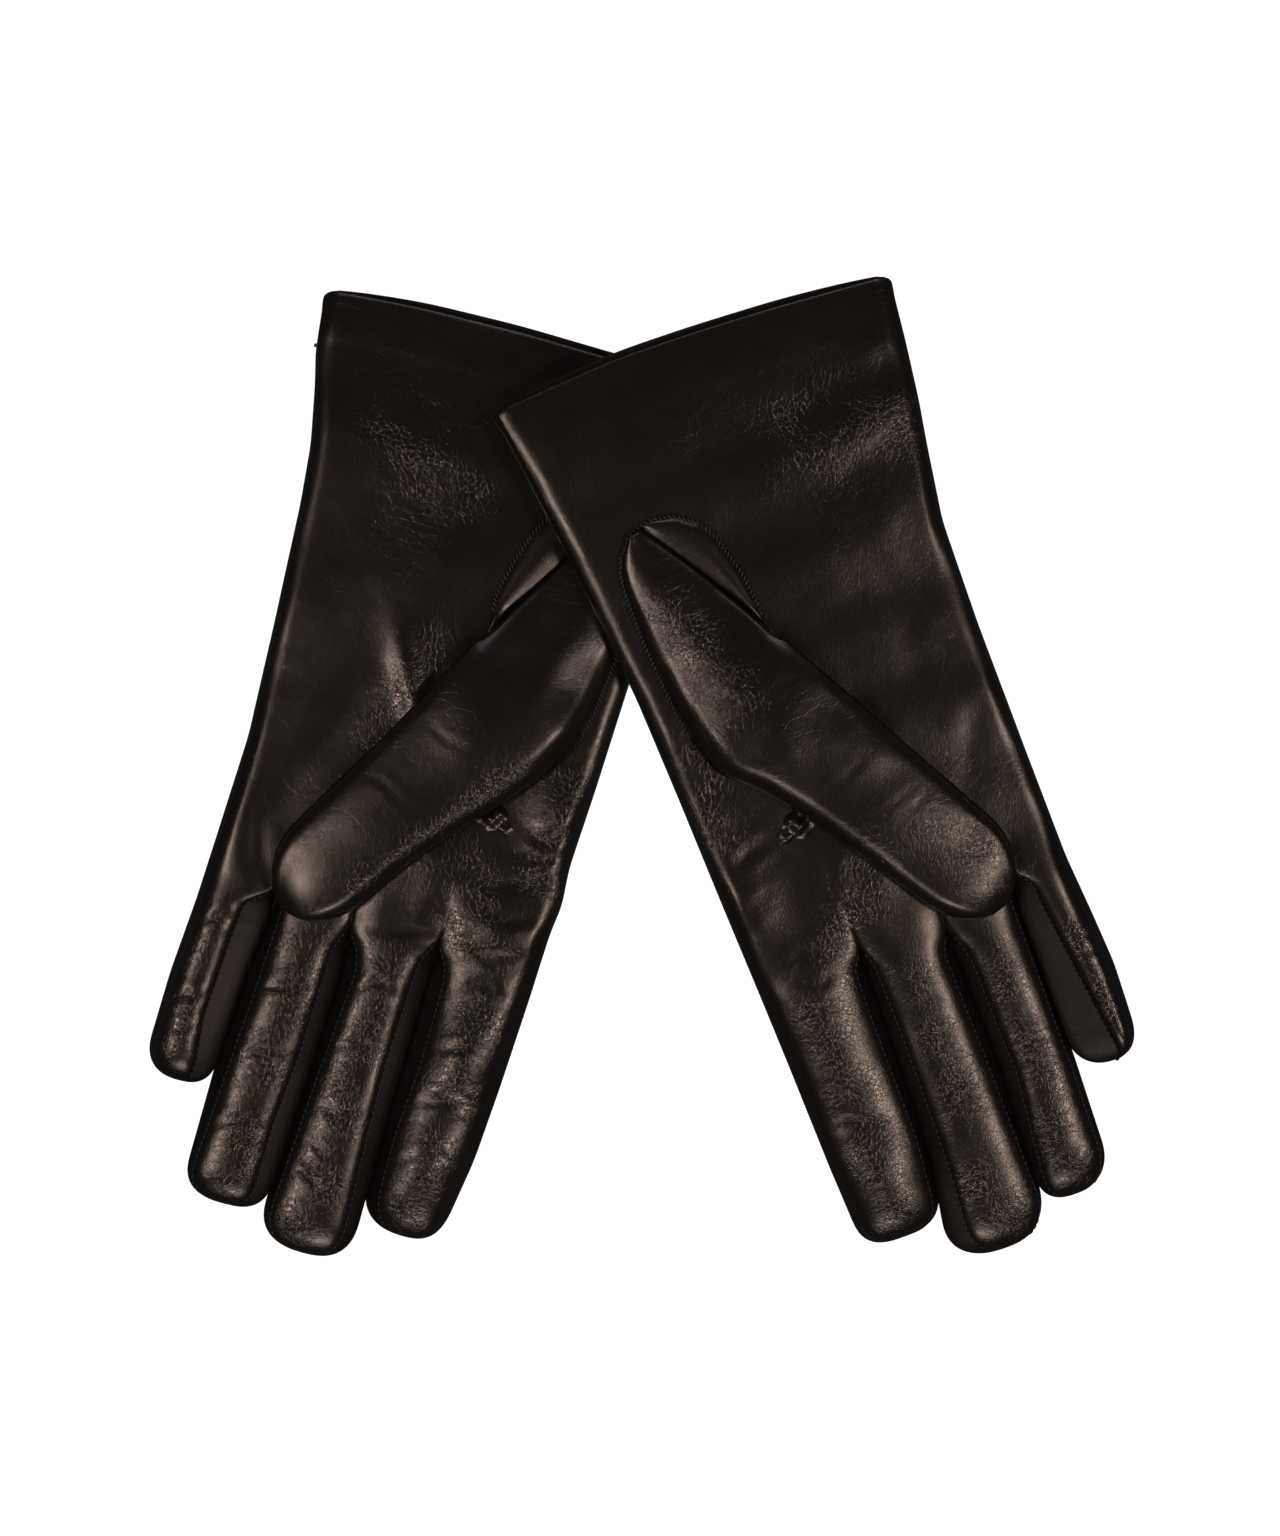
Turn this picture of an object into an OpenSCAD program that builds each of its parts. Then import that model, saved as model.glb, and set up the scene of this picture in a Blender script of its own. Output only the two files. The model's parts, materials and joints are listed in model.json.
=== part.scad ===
// A pair of table-cut leather dress gloves, laid palm up with the right glove's cuff across the left one's.
// Each glove is drawn once in its own flat frame and placed twice, the left one mirrored.
// Glove frame: origin at the middle of the cuff edge, +X towards the index finger, +Y towards the
// fingertips, +Z out of the palm. Row frame: origin under the middle of the pair, on the table.

/* [Hand] */
// Width of the cuff edge, laid flat
cuff_w = 117; // [105:1:141]
// Width that the sides draw in to at the wrist
wrist_w = 95; // [80:1:110]
// Distance from the cuff edge to the line where the fingers bend
knuckle_v = 180; // [160:1:216]
// How far the knuckle line is shifted towards the little finger
knuckle_shift = 4.6; // [0:0.1:8]
// Depth of the turned hem inside the cuff
hem_depth = 15; // [8:1:25]

/* [Leather and lining] */
// Thickness of the leather
leather = 0.8; // [0.6:0.05:1.2]
// Thickness of the knitted lining
lining = 0.5; // [0.3:0.05:0.8]
// Open height inside the hand and the fingers, lying empty
hand_gap = 6.4; // [5.4:0.1:9]
// Open height inside the thumb, lying empty
thumb_gap = 5.6; // [4.6:0.1:7]
// Gap left where one soft piece moves against another
ease = 0.3; // [0.2:0.05:0.6]

/* [Fingers] */
// Length of the index finger beyond the knuckle line
index_len = 74; // [50:1:95]
// Length of the middle finger beyond the knuckle line
middle_len = 87; // [60:1:108]
// Length of the ring finger beyond the knuckle line
ring_len = 79; // [55:1:98]
// Length of the little finger beyond the knuckle line
little_len = 48; // [35:1:62]
// Width of the index finger
index_w = 29; // [22:0.5:36]
// Width of the middle finger
middle_w = 25; // [20:0.5:31]
// Width of the ring finger
ring_w = 21; // [17:0.5:27]
// Width of the little finger
little_w = 19; // [15:0.5:24]
// Corner radius of the fingertips
tip_r = 9.5; // [6:0.5:14]

/* [Thumb] */
// Length of the thumb beyond its bending line
thumb_len = 100; // [80:1:105]
// Width of the thumb at its bending line
thumb_root_w = 35; // [28:0.5:42]
// Width of the thumb near its tip
thumb_tip_w = 30; // [22:0.5:34]
// How far the thumb's tip bends towards the index finger
thumb_tip_shift = 2; // [0:0.5:4]
// Angle between the thumb and the glove's length
thumb_angle = 32.7; // [25:0.1:36]
// Place of the middle of the thumb's bending line across the glove
thumb_u = 22.5; // [18:0.5:26]
// Place of the middle of the thumb's bending line along the glove
thumb_v = 90; // [85:1:105]
// Radius of the round end of the thumb hole
thumb_hole_r = 16; // [13:0.5:18]
// Distance from the cuff edge to the round end of the thumb hole
thumb_hole_v = 41.6; // [38:0.1:48]
// Height of the thumb base above the palm where the other glove may lie on it
thumb_rise = 2; // [1.2:0.1:3]

/* [Stitching] */
// Width of the row of stitches round the thumb hole
stitch_w = 0.8; // [0.5:0.1:1.2]
// Height of the row of stitches above the leather
stitch_h = 0.3; // [0.2:0.05:0.5]
// Length of the small gussets in the finger crotches
quirk_len = 8; // [5:0.5:12]

/* [Layout of the pair] */
// Turn of the left glove, fingers towards the left
left_turn = 15.5; // [10:0.5:22]
// Turn of the right glove, fingers towards the right
right_turn = 20; // [15:0.5:25]
// Left glove's cuff centre, across
left_x = -28.7; // [-34:0.1:-24]
// Left glove's cuff centre, along
left_y = 121.3; // [115:0.1:126]
// Right glove's cuff centre, across
right_x = 14.5; // [10:0.1:20]
// Right glove's cuff centre, along
right_y = 117.8; // [112:0.1:123]
// Distance from the right glove's cuff edge to where its side crosses the left thumb base
cross_v = 78; // [70:1:90]

/* [Hidden] */
SIDES = ["left", "right"];
FINGERS = ["index", "middle", "ring", "little"];
HAND_PARTS = [
    "palm_panel", "back_panel", "index_fold", "side_seam", "cuff_hem", "hand_lining",
    "thumb_base", "thumb_hole_stitches", "quirks", "thumb_front", "thumb_back", "thumb_lining"
];
FINGER_PARTS = ["palm_strip", "back_strip", "lining"];

LEATHER_COLOUR = [0.15, 0.13, 0.125];
FOURCHETTE_COLOUR = [0.12, 0.10, 0.10];
LINING_COLOUR = [0.20, 0.19, 0.20];
THREAD_COLOUR = [0.05, 0.05, 0.05];

side_steps = 12;   // straight stretches along each side of the hand
corner_steps = 6;  // straight stretches round each fingertip corner
past = 1;          // how far a cut runs past the face it opens
tall = 60;         // higher than anything in one glove

finger_gap = 2 * ease;                 // between neighbouring fingers
finger_w = [index_w, middle_w, ring_w, little_w];
finger_len = [index_len, middle_len, ring_len, little_len];
palm_w = index_w + middle_w + ring_w + little_w + 3 * finger_gap;
index_edge = palm_w / 2 - knuckle_shift;
little_edge = index_edge - palm_w;
tip_v = knuckle_v + max(finger_len);   // the glove's whole length

skin = leather + lining;               // from the outside to the open space
hand_t = hand_gap + 2 * skin;
thumb_t = thumb_gap + 2 * skin;
thumb_z = hand_t + ease;               // underside of the folded thumb
thumb_top = thumb_z + thumb_t;

hole_u = thumb_u + 2.7;                // centre of the thumb hole's round end
hole_v = thumb_hole_v + thumb_hole_r;
rise_far = 46;                         // how far back from its bending line the thumb base starts to rise
rise_near = 16;                        // and where it leaves the low stretch
rise_top = 1;                          // and where it reaches the thumb's full height

// The right glove's fingertips rest on the table, and its cuff is raised to clear the left thumb base.
tilt = asin((hand_t + thumb_rise + 2 * ease) / (tip_v - cross_v));

function fourchette_name(side, i, j) = str(side, "_", FINGERS[i], "_fourchette_", FINGERS[j]);

function cubic(a, b, c, d, t) =
    a * pow(1 - t, 3) + 3 * b * t * pow(1 - t, 2) + 3 * c * t * t * (1 - t) + d * pow(t, 3);

// The two sides of the hand, as distances across at v along the glove.
function index_side(v) = cubic(cuff_w / 2, wrist_w / 2, wrist_w / 2, index_edge, v / knuckle_v);
function little_side(v) = cubic(-cuff_w / 2, -wrist_w / 2, -wrist_w / 2, little_edge, v / knuckle_v);

// Outline of the hand with its sides moved in. Its ends run straight on past the hand by one length.
function hand_outline(inset, out) = let(ends = out > 0 ? [1] : []) concat(
    [for (e = ends) [index_side(0) - inset, -out]],
    [for (k = [0:side_steps]) let(v = knuckle_v * k / side_steps) [index_side(v) - inset, v]],
    [for (e = ends) [index_side(knuckle_v) - inset, knuckle_v + out]],
    [for (e = ends) [little_side(knuckle_v) + inset, knuckle_v + out]],
    [for (k = [side_steps:-1:0]) let(v = knuckle_v * k / side_steps) [little_side(v) + inset, v]],
    [for (e = ends) [little_side(0) + inset, -out]]
);

function arc(centre, r, from, to) =
    [for (k = [0:corner_steps]) let(a = from + (to - from) * k / corner_steps)
        [centre[0] + r * cos(a), centre[1] + r * sin(a)]];

// Outline of one finger in its own frame: origin on the knuckle line at the finger's middle.
// The root end is at y, and the sides and tip are moved in.
function finger_outline(i, inset, y) = let(
    r = min(tip_r, finger_w[i] / 2 - 0.1),
    x = finger_w[i] / 2 - r,
    c = finger_len[i] - r
) concat(
    [[x + r - inset, y]],
    arc([x, c], r - inset, 0, 90),
    arc([-x, c], r - inset, 90, 180),
    [[-x - r + inset, y]]
);

// Middle of one finger across the glove.
function finger_u(i) = i == 0
    ? index_edge - finger_w[0] / 2
    : finger_u(i - 1) - (finger_w[i - 1] + finger_w[i]) / 2 - finger_gap;

// Straight side of the thumb at y along it: side 1 is towards the index finger, -1 the other way.
function thumb_side(side, inset, y) = let(
    root = side * (thumb_root_w / 2 - inset),
    tip = thumb_tip_shift + side * (thumb_tip_w / 2 - inset)
) root + (tip - root) * y / (thumb_len - thumb_tip_w / 2);

// Outline of the thumb in its own frame: origin on its bending line, +Y towards its tip.
function thumb_outline(inset, y) = let(r = thumb_tip_w / 2, c = [thumb_tip_shift, thumb_len - r]) concat(
    [[thumb_side(1, inset, y), y]],
    arc(c, r - inset, 0, 90),
    arc(c, r - inset, 90, 180),
    [[thumb_side(-1, inset, y), y]]
);

// A point of the thumb's frame, in the glove's frame.
function from_thumb(x, y) = [
    thumb_u + x * cos(thumb_angle) - y * sin(thumb_angle),
    thumb_v + x * sin(thumb_angle) + y * cos(thumb_angle)
];

// Outline of the thumb hole: round at the wrist end, open to y past the thumb's bending line.
function hole_outline(inset, y) = concat(
    arc([hole_u, hole_v], thumb_hole_r - inset, 0, -90),
    arc([hole_u, hole_v], thumb_hole_r - inset, -90, -180),
    [from_thumb(-thumb_root_w / 2 + inset, y), from_thumb(thumb_root_w / 2 - inset, y)]
);

module slab(z0, z1) {
    translate([0, 0, z0])
        linear_extrude(height = z1 - z0)
            children();
}

// ---- placing ----

module place(side) {
    if (side == "left")
        translate([left_x, left_y, 0])
            rotate([0, 0, 180 - left_turn])
                mirror([1, 0, 0])
                    children();
    else
        translate([right_x, right_y, tip_v * sin(tilt)])
            rotate([0, 0, 180 + right_turn])
                rotate([-tilt, 0, 0])
                    children();
}

module at_finger(i) {
    translate([finger_u(i), knuckle_v, 0])
        children();
}

module at_thumb() {
    translate([thumb_u, thumb_v, 0])
        rotate([0, 0, thumb_angle])
            children();
}

// ---- the hand ----

// Palm half of the wrap of leather, with the thumb hole in it.
module palm_panel() {
    color(LEATHER_COLOUR)
        slab(hand_t - leather, hand_t)
            difference() {
                polygon(hand_outline(0, 0));
                polygon(hole_outline(0, 0));
            }
}

// Back half of the wrap of leather, the side that lies on the table.
module back_panel() {
    color(LEATHER_COLOUR)
        slab(0, leather)
            polygon(hand_outline(0, 0));
}

// Upright wall of the hand on one side: 1 is the index finger's, -1 the little finger's.
module hand_wall(side) {
    slab(leather, hand_t - leather)
        intersection() {
            difference() {
                polygon(hand_outline(0, 0));
                polygon(hand_outline(leather, past));
            }
            translate([side * cuff_w / 2, knuckle_v / 2])
                square([cuff_w, knuckle_v], center = true);
        }
}

// Fold of the leather along the index finger's side.
module index_fold() {
    color(LEATHER_COLOUR) hand_wall(1);
}

// Sewn seam along the little finger's side.
module side_seam() {
    color(LEATHER_COLOUR) hand_wall(-1);
}

// Flat tube that lines the hand between two places along it, from one depth under the leather to another.
module hand_tube(outer, inner, v0, v1) {
    difference() {
        slab(outer, hand_t - outer)
            intersection() {
                polygon(hand_outline(outer, 0));
                translate([-cuff_w, v0])
                    square([2 * cuff_w, v1 - v0]);
            }
        slab(inner, hand_t - inner)
            polygon(hand_outline(inner, past));
    }
}

// Edge of the leather turned back inside the cuff.
module cuff_hem() {
    color(LEATHER_COLOUR) hand_tube(leather, 2 * leather, 0, hem_depth);
}

// Knitted lining of the hand, from the hem to the knuckle line, open at the thumb hole.
module hand_lining() {
    color(LINING_COLOUR)
        difference() {
            hand_tube(leather, skin, hem_depth, knuckle_v);
            slab(hand_t / 2, tall)
                polygon(hole_outline(0, 0));
        }
}

// Small gussets that close the crotch between one finger and the next.
module quirks() {
    color(FOURCHETTE_COLOUR)
        for (i = [0:2])
            translate([finger_u(i) - (finger_w[i] + finger_gap) / 2, knuckle_v])
                slab(skin, hand_t - skin)
                    polygon([[-skin, 0], [skin, 0], [0, -quirk_len]]);
}

// ---- the fingers ----

// Half of the upright wall round finger i: side 1 is towards the index finger, -1 the little finger.
module finger_wall(i, side) {
    slab(leather, hand_t - leather)
        intersection() {
            difference() {
                polygon(finger_outline(i, 0, ease));
                polygon(finger_outline(i, leather, ease - past));
            }
            translate([side * finger_w[i] / 2, finger_len[i] / 2])
                square([finger_w[i], finger_len[i]], center = true);
        }
}

// Palm side of finger i. On the index finger the leather folds round the outer side too.
module palm_strip(i) {
    color(LEATHER_COLOUR) {
        slab(hand_t - leather, hand_t)
            polygon(finger_outline(i, 0, ease));
        if (i == 0)
            finger_wall(i, 1);
    }
}

// Back of finger i. On the little finger it is sewn up the outer side.
module back_strip(i) {
    color(LEATHER_COLOUR) {
        slab(0, leather)
            polygon(finger_outline(i, 0, ease));
        if (i == len(FINGERS) - 1)
            finger_wall(i, -1);
    }
}

// Side strip of finger i, on the side that faces finger j.
module fourchette(i, j) {
    color(FOURCHETTE_COLOUR) finger_wall(i, i - j);
}

// Closed sock of lining inside finger i.
module finger_lining(i) {
    color(LINING_COLOUR)
        difference() {
            slab(leather, hand_t - leather)
                polygon(finger_outline(i, leather, ease));
            slab(skin, hand_t - skin)
                polygon(finger_outline(i, skin, ease - past));
        }
}

// ---- the thumb ----

// Space under the thumb base's roof, lowered by drop: low where the other glove lies, then up to the thumb.
module under_roof(drop, y) {
    at_thumb()
        rotate([90, 0, 90])
            linear_extrude(height = 2 * tall, center = true)
                polygon([
                    [-tall, -past],
                    [y, -past],
                    [y, thumb_top - drop],
                    [-rise_top, thumb_top - drop],
                    [-rise_near, hand_t + thumb_rise - drop],
                    [-rise_far, hand_t + leather - drop],
                    [-tall, hand_t + leather - drop]
                ]);
}

// Root of the thumb piece, set into the oval hole in the palm and rising to the thumb's bending line.
module thumb_base() {
    color(LEATHER_COLOUR)
        difference() {
            intersection() {
                slab(hand_t - leather, tall)
                    polygon(hole_outline(0, 0));
                under_roof(0, past);
            }
            intersection() {
                slab(0, tall)
                    polygon(hole_outline(leather, past));
                under_roof(leather, past);
            }
        }
}

// Row of stitches on the palm along the edge of the thumb hole.
module thumb_hole_stitches() {
    color(THREAD_COLOUR)
        slab(hand_t, hand_t + stitch_h)
            difference() {
                polygon(hole_outline(-2 * stitch_w, -past));
                polygon(hole_outline(-stitch_w, 0));
            }
}

// Half of the upright wall round the thumb: side 1 is towards the index finger.
module thumb_wall(side) {
    slab(thumb_z + leather, thumb_top - leather)
        intersection() {
            difference() {
                polygon(thumb_outline(0, ease));
                polygon(thumb_outline(leather, ease - past));
            }
            translate([thumb_tip_shift + side * thumb_root_w, thumb_len / 2])
                square([2 * thumb_root_w, thumb_len], center = true);
        }
}

// Upper half of the thumb, folded over on the side away from the index finger.
module thumb_front() {
    color(LEATHER_COLOUR)
        at_thumb() {
            slab(thumb_top - leather, thumb_top)
                polygon(thumb_outline(0, ease));
            thumb_wall(-1);
        }
}

// Lower half of the thumb, which lies on the palm, with its seam towards the index finger.
module thumb_back() {
    color(LEATHER_COLOUR)
        at_thumb() {
            slab(thumb_z, thumb_z + leather)
                polygon(thumb_outline(0, ease));
            thumb_wall(1);
        }
}

// Closed sock of lining inside the thumb.
module thumb_lining() {
    color(LINING_COLOUR)
        at_thumb()
            difference() {
                slab(thumb_z + leather, thumb_top - leather)
                    polygon(thumb_outline(leather, ease));
                slab(thumb_z + skin, thumb_top - skin)
                    polygon(thumb_outline(skin, ease - past));
            }
}

// ---- the pair ----

module hand_part(name) {
    if (name == "palm_panel") palm_panel();
    if (name == "back_panel") back_panel();
    if (name == "index_fold") index_fold();
    if (name == "side_seam") side_seam();
    if (name == "cuff_hem") cuff_hem();
    if (name == "hand_lining") hand_lining();
    if (name == "thumb_base") thumb_base();
    if (name == "thumb_hole_stitches") thumb_hole_stitches();
    if (name == "quirks") quirks();
    if (name == "thumb_front") thumb_front();
    if (name == "thumb_back") thumb_back();
    if (name == "thumb_lining") thumb_lining();
}

module finger_part(i, name) {
    if (name == "palm_strip") palm_strip(i);
    if (name == "back_strip") back_strip(i);
    if (name == "lining") finger_lining(i);
}

for (s = SIDES) {
    for (p = HAND_PARTS)
        place(s) hand_part(p);
    for (i = [0:3])
        for (p = FINGER_PARTS)
            place(s) at_finger(i) finger_part(i, p);
    for (i = [0:2]) {
        place(s) at_finger(i) fourchette(i, i + 1);
        place(s) at_finger(i + 1) fourchette(i + 1, i);
    }
}
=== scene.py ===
"""The looks of a pair of black nappa dress gloves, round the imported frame.

Each glove is shaped in its own flat frame, in mm: u runs towards the index finger, v from the cuff edge
towards the fingertips and z out of the palm. Glove.place turns that into the row frame, in metres.
"""

import json
import math

import bpy
import numpy as np
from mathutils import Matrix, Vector


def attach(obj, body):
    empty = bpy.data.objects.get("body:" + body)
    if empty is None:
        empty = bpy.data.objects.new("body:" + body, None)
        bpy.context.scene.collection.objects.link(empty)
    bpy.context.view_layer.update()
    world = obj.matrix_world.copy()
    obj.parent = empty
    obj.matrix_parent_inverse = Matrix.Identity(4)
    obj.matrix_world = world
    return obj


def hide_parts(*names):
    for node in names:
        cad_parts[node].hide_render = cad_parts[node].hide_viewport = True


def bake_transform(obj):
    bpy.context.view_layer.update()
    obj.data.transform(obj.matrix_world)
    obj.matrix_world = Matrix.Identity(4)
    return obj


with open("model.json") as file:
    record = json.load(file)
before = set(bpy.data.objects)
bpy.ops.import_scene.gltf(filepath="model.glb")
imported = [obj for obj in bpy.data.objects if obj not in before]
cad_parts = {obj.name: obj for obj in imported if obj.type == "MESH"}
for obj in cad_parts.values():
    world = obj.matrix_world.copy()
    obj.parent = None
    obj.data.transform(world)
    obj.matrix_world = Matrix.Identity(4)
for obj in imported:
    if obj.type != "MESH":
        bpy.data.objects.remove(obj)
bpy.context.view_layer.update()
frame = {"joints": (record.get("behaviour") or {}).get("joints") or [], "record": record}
scene = bpy.context.scene

MM = 0.001
JOINTS = {j["name"]: j for j in frame["joints"]}
MOUNTS = {m["name"]: m for m in frame["record"]["mounts"]}

# ---- sizes, in mm ----

HALF_CUFF = 4.5       # height of the middle of the cuff's opening
SPLIT = 168.0         # row where the hand's pieces end and the fingers' pieces start
BEND = (171.0, 190.0)  # rows between which a finger's leather bends
STEP = 1.0            # spacing of the surface's points
HEM = 15.0            # depth of the turned hem
LEATHER = 0.6
FLAT = 0.3            # height of the back's leather above the table
SLIT = 0.12           # half of the gap between neighbouring fingers
LEAN = 2.4            # how far that gap slants, so that no table shows through it
STRIPS = ["little", "ring", "middle", "index"]
COLUMNS = [22, 23, 27, 31]   # points across each finger's strip
WALL = 9              # points down each side wall
EDGE = 0.6            # height of the hand's side edges, as a share of its middle's height
ROUNDED = 5.5         # width of the hand's rounded sides
SEAM = 7.0            # height of the fingers' seams
CROWN = 9.5           # height of the fingers' crowns
SWELL = 1.45          # how much the swells below are raised
ROUND = 6             # points round a thread
BACK_CUFF = 1.6       # how far the back's cuff edge shows past the palm's
# Each glove's outlines. Sides, gaps and seams are (v, u) points and the cuff is (u, shift in v). A tip is its
# u, its v, the length of its rounding and how square it is. The thumb's lines are (along, across) its length.
SHAPES = {
    "right": {
        "index_side": [(0, 59), (20, 56), (40, 53.4), (62, 51), (88, 48.4), (118, 46.9), (150, 45.6),
                       (180, 44.2), (200, 43.4), (230, 42.4), (245, 41.6)],
        "little_side": [(0, -58), (20, -56), (36, -54), (48, -52), (70, -48.8), (100, -48.4), (140, -49),
                        (170, -49.6), (187, -51.1), (203, -52.2), (215, -51.8)],
        "gaps": [[(0, -35), (120, -32), (168, -33.4), (180, -31.8), (205, -31.8), (222, -32.2), (250, -31.4)],
                 [(0, -12), (177, -11.1), (200, -11.7), (221, -12.2), (245, -11)],
                 [(0, 17), (173, 13.6), (200, 14), (225, 14.3), (240, 15.5), (250, 17.2)]],
        "crotches": [167, 177, 173],
        "seams": {
            "little": [None, [(168, -35), (171, -37.6), (180, -38.3), (202, -41.3), (219, -43.6)]],
            "ring": [[(168, -31), (178, -30.6), (228, -30.8), (245, -30.4)],
                     [(178, -12.8), (190, -14.7), (212, -15.3), (222, -15.8), (242, -13.9)]],
            "middle": [[(178, -8), (200, -8.6), (217, -9.1), (250, -9.6)],
                       [(174, 12.2), (183, 11.3), (200, 10.8), (228, 10.8), (244, 11.1), (256, 12.2)]],
            "index": [[(173, 14.2), (178, 16.9), (194, 17.2), (230, 16.8), (241, 17.8)], None],
        },
        "tips": {"little": (-43, 228.6, 11, 2.4), "ring": (-20, 260.4, 12, 2.6),
                 "middle": (4, 268, 14, 2.4), "index": (29.5, 255.2, 11, 3.2)},
        "cuff": [(-58, 0.5), (-25, -2), (0, -3.2), (21, -3.6), (59, -1)],
        "oval": [[(-45.2, -16), (-43, -22), (-38.5, -26.4), (-32, -28.9), (-26, -28.8), (-15, -25.5),
                  (-3, -20), (2.5, -17.2)],
                 [(-45.2, -15.6), (-44.9, -13.3), (-43.4, -8.3), (-41, -4.8), (-37, -1.5), (-33, 1.2),
                  (-23.5, 7), (-13, 12.5), (-6, 16.4), (5, 21), (15, 22.6)]],
        "fold": [(-42, -18), (-24, -18.3), (0, -17.5), (30, -16), (57, -14.2), (85, -12.6)],
        "thumb_seam": [(15, 22.6), (27, 19.4), (42, 17.6), (60, 17.2), (85, 17)],
        "thumb_tip": (3.2, 100, 19, 2.0),
        "gusset": (18.3, 135.6),
        "wrinkled": 0.32,
    },
    "left": {
        "index_side": [(0, 58), (30, 55), (60, 52), (92, 50.8), (119, 49.8), (142, 48.6), (153, 49.4),
                       (161, 48.3), (180, 47.6), (206, 46.3), (228, 44.8), (243, 42.5)],
        "little_side": [(0, -61), (20, -59), (30, -56.7), (46.7, -53.3), (63, -51.7), (97, -49.8),
                        (130, -48.3), (160, -49.4), (178, -50.2), (200, -51.8), (212, -52)],
        "gaps": [[(0, -36), (170, -28.5), (178, -28.9), (194, -30.6), (217, -31.9), (250, -32)],
                 [(0, -12), (173, -6.4), (190, -5.3), (215, -6.2), (250, -7.8)],
                 [(0, 17), (170, 18.9), (185, 18.7), (215, 18.4), (250, 18.4)]],
        "crotches": [168, 173, 170.5],
        "seams": {
            "little": [None, [(168, -31.5), (176, -36.4), (187, -37.6), (209, -38.9), (222, -37.7)]],
            "ring": [[(171, -25.8), (183, -26.4), (200, -27.2), (230, -29.2)],
                     [(175, -8.3), (183, -9.4), (211, -10.2), (233, -12.2), (249, -12.4)]],
            "middle": [[(175, -4.9), (179, -2.8), (186, -1.3), (197, -2.2), (217, -3.9), (244, -5.6)],
                       [(173, 16.1), (183, 14.7), (211, 13.6), (233, 14.2), (254, 15)]],
            "index": [[(171, 19.8), (176, 22.2), (183, 23.2), (206, 23.1), (228, 21.5), (242, 21.7)], None],
        },
        "tips": {"little": (-41.5, 228.6, 11, 2.6), "ring": (-20, 258.6, 11, 2.8),
                 "middle": (5, 266, 13, 2.6), "index": (31, 254, 12, 2.7)},
        "cuff": [(-60, 3.4), (-53, 2.6), (-33, 1), (-5, 0.2), (24, 0.6), (58, -1)],
        "oval": [[(-45.2, -16), (-43, -21.5), (-38, -25.5), (-32, -27.2), (-26, -27), (-15, -24),
                  (-5.8, -20.6), (5, -15.3), (8, -14.2)],
                 [(-45.2, -15.6), (-44.9, -12), (-43.4, -6), (-41, -2), (-37, 2), (-33, 5.5), (-19, 15.1),
                  (-4, 22.4), (5, 25.6), (18, 25.8)]],
        "fold": [(-42, -15.4), (-26, -14.8), (10, -13.9), (41, -11.4), (71, -10.4), (85, -9.6)],
        "thumb_seam": [(18, 25.8), (29, 24.6), (46, 21.2), (63, 19), (85, 18.6)],
        "thumb_tip": (5, 96.6, 18, 2.0),
        "gusset": (24.4, 134),
        "wrinkled": 0.42,
    },
}

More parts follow.
